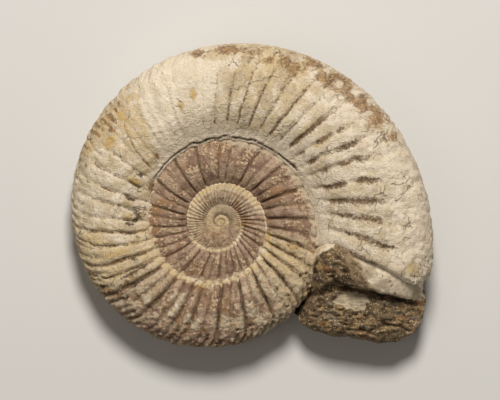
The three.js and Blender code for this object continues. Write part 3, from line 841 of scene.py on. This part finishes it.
def rock_top(points):
    """Height of the rock's upper side, and what covers it."""
    x, y = points[:, 0], points[:, 1]
    lip_y = curve(x, LIP_LINE)
    foot_y = curve(x, FOOT_LINE)
    share = (lip_y - y) / (lip_y - foot_y)
    lip_height = height_at(LIP_ANGLE, np.hypot(x, lip_y))
    slope = lip_height - 0.5 - 6.5 * np.clip(share, 0, 1) ** 1.35 - 8 * np.maximum(0, -share) ** 0.8
    past = foot_y - y + 0.7 * noise(points, 4, 201) + 0.35 * noise(points, 1.4, 202)
    step = smooth(past, 0, curve(x, [(36, 5), (44, 3.5), (50, 1.3)]))
    shoulder = np.maximum(0, np.hypot((x - 57) / 26, (y + 34) / 15) - 0.62)
    ledge = curve(x, LEDGE_HEIGHT) - 9 * shoulder ** 1.6 + 1.5 * noise(points, 11, 204)
    height = slope * (1 - step) + ledge * step

    inward = x - curve(y, LEFT_LINE) + 1.1 * noise(points, 3.4, 203)
    height -= 6 * np.clip(1 - inward / 5, 0, 1) ** 2 + 12 * fade(inward, -3, 0)
    roll = x - curve(y, ROLL_LINE) + 0.8 * noise(points, 4, 205)
    smooth_slope = (1 - step) * smooth(roll, 0, 4.6)
    rolled = (1 - step) * fade(np.abs(roll), 1, 4.2)
    face = inside_shape(wobbled(points, 1.3, 2.4, 206), PALE_FACE, 0.8)
    corner = inside_shape(points + 0.6 * noise(points, 2.4, 247)[:, None], PALE_CORNER, 0.6)
    coarse = 1 - np.maximum.reduce([0.92 * smooth_slope, 0.75 * rolled, 0.88 * face, 0.7 * corner])
    height += 0.7 * rolled
    height = height * (1 - face) + face * (4.1 + 0.03 * (x - 52) + 0.06 * (y + 32))

    grain = points * ROCK_GRAIN
    crag = 1.1 * fractal(grain, 7, 211, 3) + 0.5 * (0.35 - np.abs(fractal(grain, 5, 215, 2)))
    crag += 1.5 * fractal(grain, 2.6, 219, 3) + 0.3 * (0.5 - cells(grain, 1.1, 245)[0])
    height += coarse * crag + 0.1 * noise(points, 1.2, 221) + 0.12 * noise(points, 4, 222)
    # Painted shade: the clefts and the crags' low places are darkened.
    dark = np.zeros(len(points))
    bent = wobbled(points, 0.9, 3, 224)
    for line, width, depth in CLEFTS:
        cleft = near_line(bent, line, width) * (1 - face)
        height -= depth * cleft * (0.3 + 0.7 * smooth(share, -0.05, 0.03))
        dark = np.maximum(dark, cleft * min(1, 0.75 * depth))
    spot = 1.9 - np.hypot((x - YELLOW_SPOT[0]) / 0.8, y - YELLOW_SPOT[1])
    cover = {
        "pale": face,
        "slope": np.maximum(smooth_slope * (0.62 + 0.38 * smooth(x, 56, 67)), 0.75 * corner),
        "roll": rolled * (1 - corner),
        "crevice_shade": np.maximum(dark, 0.85 * smooth(-crag, 0.45, 1.5) * coarse),
        "gold": smooth(noise(grain, 3, 231) + 0.5 * noise(grain, 1, 232), 0.25, 0.6) * coarse,
        "stain": smooth(fractal(grain, 6, 235), 0.25, 0.6) * coarse,
        "yellow": smooth(spot + noise(points, 1.2, 238), 0, 0.9),
        "ashen": smooth(fractal(grain, 8, 241), 0.1, 0.5) * coarse,
    }
    return height, np.stack([cover[name] for name in ROCK_COVERS], 1)


def rock_reach(spin):
    """How far the rock's outline is from its heart, in each direction."""
    corners = np.array(ROCK_OUTLINE + ROCK_OUTLINE[:1], float) - ROCK_HEART
    bearing = np.unwrap(np.arctan2(corners[:, 1], corners[:, 0]))
    order = np.argsort(bearing)
    reach = np.interp(spin, bearing[order], np.hypot(*corners.T)[order], period=2 * math.pi)
    for _ in range(3):
        reach = (np.roll(reach, 1) + 2 * reach + np.roll(reach, -1)) / 4
    return reach


def rock_sides(under, sunk):
    """Moves the rock's lower rings in and out, and says what covers them."""
    bulge = 0.9 * fractal(under, 6, 251) + 0.8 * (0.5 - np.abs(fractal(under * [0.6, 1, 1], 3.4, 255, 3)))
    out = under - [*ROCK_HEART, -4]
    out /= np.linalg.norm(out, axis=1, keepdims=True)
    moved = under + out * (bulge * np.minimum(1, 4 * sunk))[:, None]
    cover = {
        # Painted shade where the sides dip in.
        "crevice_shade": smooth(-bulge, 0.1, 0.8),
        "gold": smooth(noise(moved, 3, 261), 0.2, 0.6),
        "stain": smooth(fractal(moved, 6, 265), 0.2, 0.6),
        "ashen": smooth(fractal(moved, 8, 271), 0.1, 0.5),
    }
    return moved, np.stack([cover.get(name, np.zeros(len(under))) for name in ROCK_COVERS], 1)


def make_rock():
    spin = np.linspace(0, 2 * math.pi, ROCK_COLUMNS, endpoint=False)
    outline = rock_reach(spin) * [np.cos(spin), np.sin(spin)]

    def rings(spread, height):
        flat = (spread[:, None, None] * outline.T + ROCK_HEART).reshape(-1, 2)
        return np.column_stack([flat, np.repeat(height, ROCK_COLUMNS)])

    body = Body()
    turn = np.linspace(0, math.pi / 2, ROCK_TOP_RINGS + 1)[1:]
    upper = rings(np.sin(turn) ** 0.62, np.zeros(len(turn)))
    height, cover = rock_top(upper)
    drop = np.repeat(np.cos(turn) ** 0.55, ROCK_COLUMNS)
    upper[:, 2] = ROCK_MIDDLE + (height - ROCK_MIDDLE) * drop
    jag = 0.9 * fractal(upper, 6, 251) * (1 - drop) ** 2 * smooth(-upper[:, 1], 27, 33)
    out = upper[:, :2] - ROCK_HEART
    upper[:, :2] += out / np.linalg.norm(out, axis=1, keepdims=True) * jag[:, None]
    tip = np.array([[*ROCK_HEART, 0.0]])
    tip_height, tip_cover = rock_top(tip)
    tip[0, 2] = tip_height[0]
    tip = body.add(tip, tip_cover)[0]
    top = body.add(upper, cover).reshape(ROCK_TOP_RINGS, -1)

    turn = np.linspace(0, math.pi / 2, ROCK_BASE_RINGS + 1)[1:-1]
    sunk = np.sin(turn) ** 0.6
    under = rings(np.cos(turn) ** 0.75, ROCK_MIDDLE + (ROCK_BASE - ROCK_MIDDLE) * sunk)
    under, cover = rock_sides(under, np.repeat(sunk, ROCK_COLUMNS))
    base = body.add(under, cover).reshape(ROCK_BASE_RINGS - 1, -1)
    bottom = body.add(np.array([[*ROCK_HEART, ROCK_BASE]]), cover[:1])[0]

    grid = np.concatenate([top, base])
    grid = np.concatenate([grid, grid[:, :1]], 1)
    body.weave(grid, False)
    body.fan(tip, grid[0], False)
    body.fan(bottom, grid[-1], True)
    return body.piece("matrix_rock_lump")


# ---- materials

MIX_BELOW, MIX_ABOVE = 6, 7  # the inputs of a mix node that take colours
MIX_RESULT = 2  # and the output that gives one


def paint(red, green, blue):
    """An sRGB colour, 0 to 255, as a linear one."""
    return tuple(((c / 255 + 0.055) / 1.055) ** 2.4 for c in (red, green, blue)) + (1,)


class Stone:
    """A stone's material, built up from its coverings and from noise in the object's own space."""

    def __init__(self, name, names):
        self.material = bpy.data.materials.new(name)
        self.material.use_nodes = True
        self.tree = self.material.node_tree
        self.shader = self.tree.nodes["Principled BSDF"]
        self.place = self.node("TexCoord").outputs["Object"]
        self.cover = {}
        for layer in range(2):
            found = self.node("Attribute", attribute_name=f"cover_{layer + 1}")
            split = self.node("SeparateColor", {"Color": found.outputs["Color"]})
            outputs = [*split.outputs, found.outputs["Alpha"]]
            self.cover.update(zip(names[4 * layer:], outputs))

    def node(self, kind, inputs=None, **settings):
        found = self.tree.nodes.new("ShaderNode" + kind)
        for name, value in settings.items():
            setattr(found, name, value)
        for name, value in (inputs or {}).items():
            if isinstance(value, bpy.types.NodeSocket):
                self.tree.links.new(value, found.inputs[name])
            else:
                found.inputs[name].default_value = value
        return found

    def math(self, operation, first, second=0.0, third=0.0):
        return self.node("Math", {0: first, 1: second, 2: third}, operation=operation).outputs[0]

    def both(self, first, second):
        return self.math("MULTIPLY", first, second)

    def noise(self, size, detail=3.0, rough=0.55, stretch=(1, 1, 1)):
        """Noise with grains of that size, in millimetres."""
        place = self.node("VectorMath", {0: self.place, 1: stretch}, operation="MULTIPLY")
        inputs = {"Vector": place.outputs[0], "Scale": 1 / (size * MM), "Detail": detail, "Roughness": rough}
        return self.node("TexNoise", inputs).outputs["Fac"]

    def grains(self, size, inner, outer):
        """1 in the middle of scattered grains, 0 between them."""
        inputs = {"Vector": self.place, "Scale": 1 / (size * MM)}
        return self.step(self.node("TexVoronoi", inputs).outputs["Distance"], outer, inner)

    def step(self, value, low, high, to=1.0):
        inputs = {"Value": value, "From Min": low, "From Max": high, "To Max": to}
        return self.node("MapRange", inputs, interpolation_type="SMOOTHSTEP").outputs[0]

    def mix(self, below, above, share):
        below, above = (paint(*c) if isinstance(c, tuple) else c for c in (below, above))
        inputs = {0: share, MIX_BELOW: below, MIX_ABOVE: above}
        return self.node("Mix", inputs, data_type="RGBA").outputs[MIX_RESULT]

    def patchy(self, first, second, noise, low, high):
        """One colour where the noise is low and another where it is high."""
        return self.mix(first, second, self.step(noise, low, high))

    def lay(self, colour, share):
        """Covers what is there so far."""
        self.colour = self.mix(self.colour, colour, share)

    def coat(self, name, colour, wobble, amount, low=0.35, high=0.65, to=1.0):
        """Lays a covering on, with an edge that is broken up by noise."""
        centred = self.math("SUBTRACT", wobble, 0.5)
        share = self.math("MULTIPLY_ADD", centred, amount, self.cover[name])
        self.lay(colour, self.step(share, low, high, to))

    def finish(self, rough, roughness, height, depth):
        """Roughness follows one noise, and the finest relief another; depth is its height in millimetres."""
        low, high = roughness
        dull = self.node("MapRange", {"Value": rough, "To Min": low, "To Max": high})
        bump = self.node("Bump", {"Height": height, "Strength": 1.0, "Distance": depth * MM})
        self.tree.links.new(self.colour, self.shader.inputs["Base Color"])
        self.tree.links.new(dull.outputs[0], self.shader.inputs["Roughness"])
        self.tree.links.new(bump.outputs[0], self.shader.inputs["Normal"])
        self.shader.inputs["Specular IOR Level"].default_value = 0.25
        return self.material


def shell_stone():
    stone = Stone("fossil_shell", COVERS)
    coarse = stone.noise(5)
    middle = stone.noise(1.6)
    fine = stone.noise(0.6)

    stone.colour = stone.patchy((205, 187, 156), (217, 203, 178), coarse, 0.4, 0.62)
    tan = stone.patchy((209, 187, 149), (214, 189, 140), middle, 0.4, 0.65)
    yellow = stone.patchy(tan, (208, 175, 116), stone.cover["yellow"], 0.75, 1)
    stone.coat("yellow", yellow, coarse, 1.5, 0.2, 0.75)
    white = stone.patchy((219, 203, 177), (230, 215, 191), coarse, 0.38, 0.6)
    stone.coat("white", white, coarse, 1.3, 0.3, 0.7)
    grey = stone.patchy((176, 158, 134), (198, 181, 153), middle, 0.4, 0.6)
    stone.coat("grey", grey, coarse, 1.3, 0.3, 0.95, 0.85)
    mauve = stone.patchy((136, 108, 90), (182, 156, 133), coarse, 0.36, 0.62)
    mauve = stone.patchy(mauve, (156, 120, 86), stone.noise(9), 0.5, 0.68)
    stone.coat("mauve", mauve, middle, 1.1, 0.25, 0.75)

    lace = stone.step(stone.noise(1.1, 5, 0.7), 0.44, 0.52)
    lace = stone.both(lace, stone.step(stone.noise(4.2, 2), 0.47, 0.54))
    lace = stone.both(lace, stone.step(stone.cover["frill"], 0.1, 0.8, 0.9))
    stone.lay(stone.patchy((204, 172, 140), (230, 203, 166), fine, 0.4, 0.6), lace)
    rust = stone.patchy((162, 124, 78), (118, 90, 62), middle, 0.42, 0.6)
    stone.coat("rust", rust, stone.noise(1.1), 1.9, 0.1, 0.9, 0.88)
    # The dark brown of grooves, cracks and pits: partly real infill, partly painted shade.
    dirt = stone.patchy((82, 62, 42), (128, 101, 74), fine, 0.36, 0.6)
    stone.coat("dirt", dirt, stone.noise(1.1, 4, 0.65), 1.5, 0.4, 0.95, 0.95)
    # Black spots, and the painted shade of the crumbly part's deepest grooves.
    black = stone.patchy((52, 44, 36), (94, 79, 62), fine, 0.42, 0.6)
    stone.coat("black", black, stone.noise(0.8), 2, 0.4, 1, 0.95)

    hairline = stone.math("ABSOLUTE", stone.math("SUBTRACT", stone.noise(15, 3, 0.5), 0.5))
    hairline = stone.both(stone.step(hairline, 0.007, 0.002), stone.step(stone.noise(9, 1), 0.5, 0.6))
    hairline = stone.both(hairline, stone.step(stone.cover["mauve"], 0.4, 0.1))
    stone.lay((130, 110, 82), stone.both(hairline, 0.6))
    speck = stone.both(stone.grains(1.7, 0.08, 0.2), stone.step(coarse, 0.46, 0.6, 0.55))
    stone.lay((116, 94, 70), speck)
    shade = stone.step(stone.noise(0.75, 4, 0.7), 0.6, 0.38, 0.26)
    stone.lay((110, 88, 66), stone.both(shade, stone.step(stone.cover["white"], 1.2, 0.3)))

    height = stone.math("MULTIPLY_ADD", stone.noise(0.25), 0.35, middle)
    for relief, amount in ((fine, 0.8), (hairline, -0.8), (speck, -0.5), (lace, 0.5)):
        height = stone.math("MULTIPLY_ADD", relief, amount, height)
    return stone.finish(fine, (0.8, 0.98), height, 0.75)


def rock_stone():
    stone = Stone("fossil_matrix", ROCK_COVERS)
    along = (0.6, 1, 1)
    coarse = stone.noise(4, stretch=along)
    middle = stone.noise(1.8, 6, 0.68, along)
    fine = stone.noise(0.45)

    brown = stone.patchy((82, 66, 47), (158, 132, 98), middle, 0.42, 0.6)
    stone.colour = stone.mix(brown, (110, 95, 72), stone.step(coarse, 0.5, 0.62, 0.7))
    ashen = stone.patchy((92, 82, 67), (146, 132, 110), middle, 0.4, 0.6)
    stone.coat("ashen", ashen, middle, 1.2, to=0.8)
    gold = stone.patchy((126, 99, 62), (192, 163, 118), fine, 0.42, 0.6)
    stone.coat("gold", gold, stone.noise(0.9), 1.6, to=0.85)
    stone.coat("stain", (146, 102, 60), stone.noise(0.8), 1.8, 0.45, 0.9, 0.6)
    roll = stone.patchy((132, 108, 80), (176, 151, 119), stone.noise(2.2), 0.38, 0.6)
    stone.coat("roll", roll, middle, 0.8, 0.2, 0.8, 0.9)
    slope = stone.patchy((206, 187, 158), (242, 225, 197), stone.noise(5), 0.38, 0.58)
    slope = stone.patchy(slope, (150, 133, 108), stone.noise(1.6), 0.56, 0.7)
    stone.coat("slope", slope, coarse, 0.9, 0.2, 0.85)
    face = stone.patchy((166, 148, 120), (202, 185, 157), middle, 0.38, 0.58)
    stone.coat("pale", face, middle, 1)
    stone.coat("yellow", (190, 158, 104), middle, 1.2, to=0.8)
    # Painted highlights: bright specks where light would catch the grains, kept off the slope.
    glint = stone.both(stone.grains(1, 0.2, 0.38), stone.step(stone.noise(1.8), 0.44, 0.54, 0.9))
    stone.lay((212, 188, 150), stone.both(glint, stone.step(stone.cover["slope"], 0.6, 0.2)))
    # Painted shade of the clefts and hollows.
    dark = stone.patchy((38, 30, 21), (84, 67, 48), fine, 0.4, 0.6)
    stone.coat("crevice_shade", dark, coarse, 1.2, 0.4, 0.9, 0.9)

    height = stone.math("MULTIPLY_ADD", fine, 0.7, middle)
    height = stone.both(height, stone.step(stone.cover["slope"], 1, 0))
    height = stone.math("MULTIPLY_ADD", stone.noise(1.1, 4, 0.7), 0.5, height)
    return stone.finish(middle, (0.72, 0.95), height, 1.1)


# ---- the pieces

shell = make_shell()
shell.data.materials.append(shell_stone())
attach(shell, "root")
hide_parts("ammonite")

rock = make_rock()
rock.data.materials.append(rock_stone())
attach(rock, "root")
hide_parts("matrix_rock")

# ---- floor, light and camera

FLOOR_WIDTH = 12
LAMP_WARMTH = {"key": (1, 0.97, 0.93), "fill": (1, 0.95, 0.88)}
SKY_COLOUR = (1, 0.93, 0.83, 1)
SKY_STRENGTH = 0.11
CAMERA_PLACE = (-0.8 * MM, -2 * MM, 2.02)  # straight above, as the photo was taken

floor_mesh = bpy.data.meshes.new("floor")
corners = [(x * FLOOR_WIDTH / 2, y * FLOOR_WIDTH / 2, 0) for x, y in ((-1, -1), (1, -1), (1, 1), (-1, 1))]
floor_mesh.from_pydata(corners, [], [(0, 1, 2, 3)])
floor = put("floor", floor_mesh)
paper = bpy.data.materials.new("pale_paper")
paper.use_nodes = True
paper.node_tree.nodes["Principled BSDF"].inputs["Base Color"].default_value = paint(205, 203, 199)
paper.node_tree.nodes["Principled BSDF"].inputs["Roughness"].default_value = 0.9
floor.data.materials.append(paper)
floor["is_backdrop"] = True


def area_light(name, azimuth, elevation, distance, size, watts):
    """A round lamp aimed at the object, azimuth 0 standing at -Y and 90 at +X."""
    lamp = bpy.data.lights.new(name, "AREA")
    lamp.shape = "DISK"
    lamp.size = size
    lamp.energy = watts
    lamp.color = LAMP_WARMTH[name]
    stand = put(name, lamp)
    a, e = math.radians(azimuth), math.radians(elevation)
    away = np.array([math.sin(a) * math.cos(e), -math.cos(a) * math.cos(e), math.sin(e)])
    stand.location = away * distance
    stand.rotation_euler = (math.pi / 2 - e, 0, a)


area_light("key", azimuth=176, elevation=55, distance=1.3, size=0.4, watts=19.2)
area_light("fill", azimuth=300, elevation=60, distance=1.6, size=1.2, watts=2.6)

world = bpy.data.worlds.new("studio")
world.use_nodes = True
world.node_tree.nodes["Background"].inputs["Color"].default_value = SKY_COLOUR
world.node_tree.nodes["Background"].inputs["Strength"].default_value = SKY_STRENGTH
bpy.context.scene.world = world
bpy.context.scene.view_settings.view_transform = "Standard"

camera = put("camera", bpy.data.cameras.new("camera"))
camera.data.sensor_width = 36
camera.data.lens = 360
camera.location = CAMERA_PLACE
bpy.context.scene.camera = camera

boxes = {"cad": cad_box, "visual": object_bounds()}
{name: [list(corner) for corner in box] for name, box in boxes.items()}
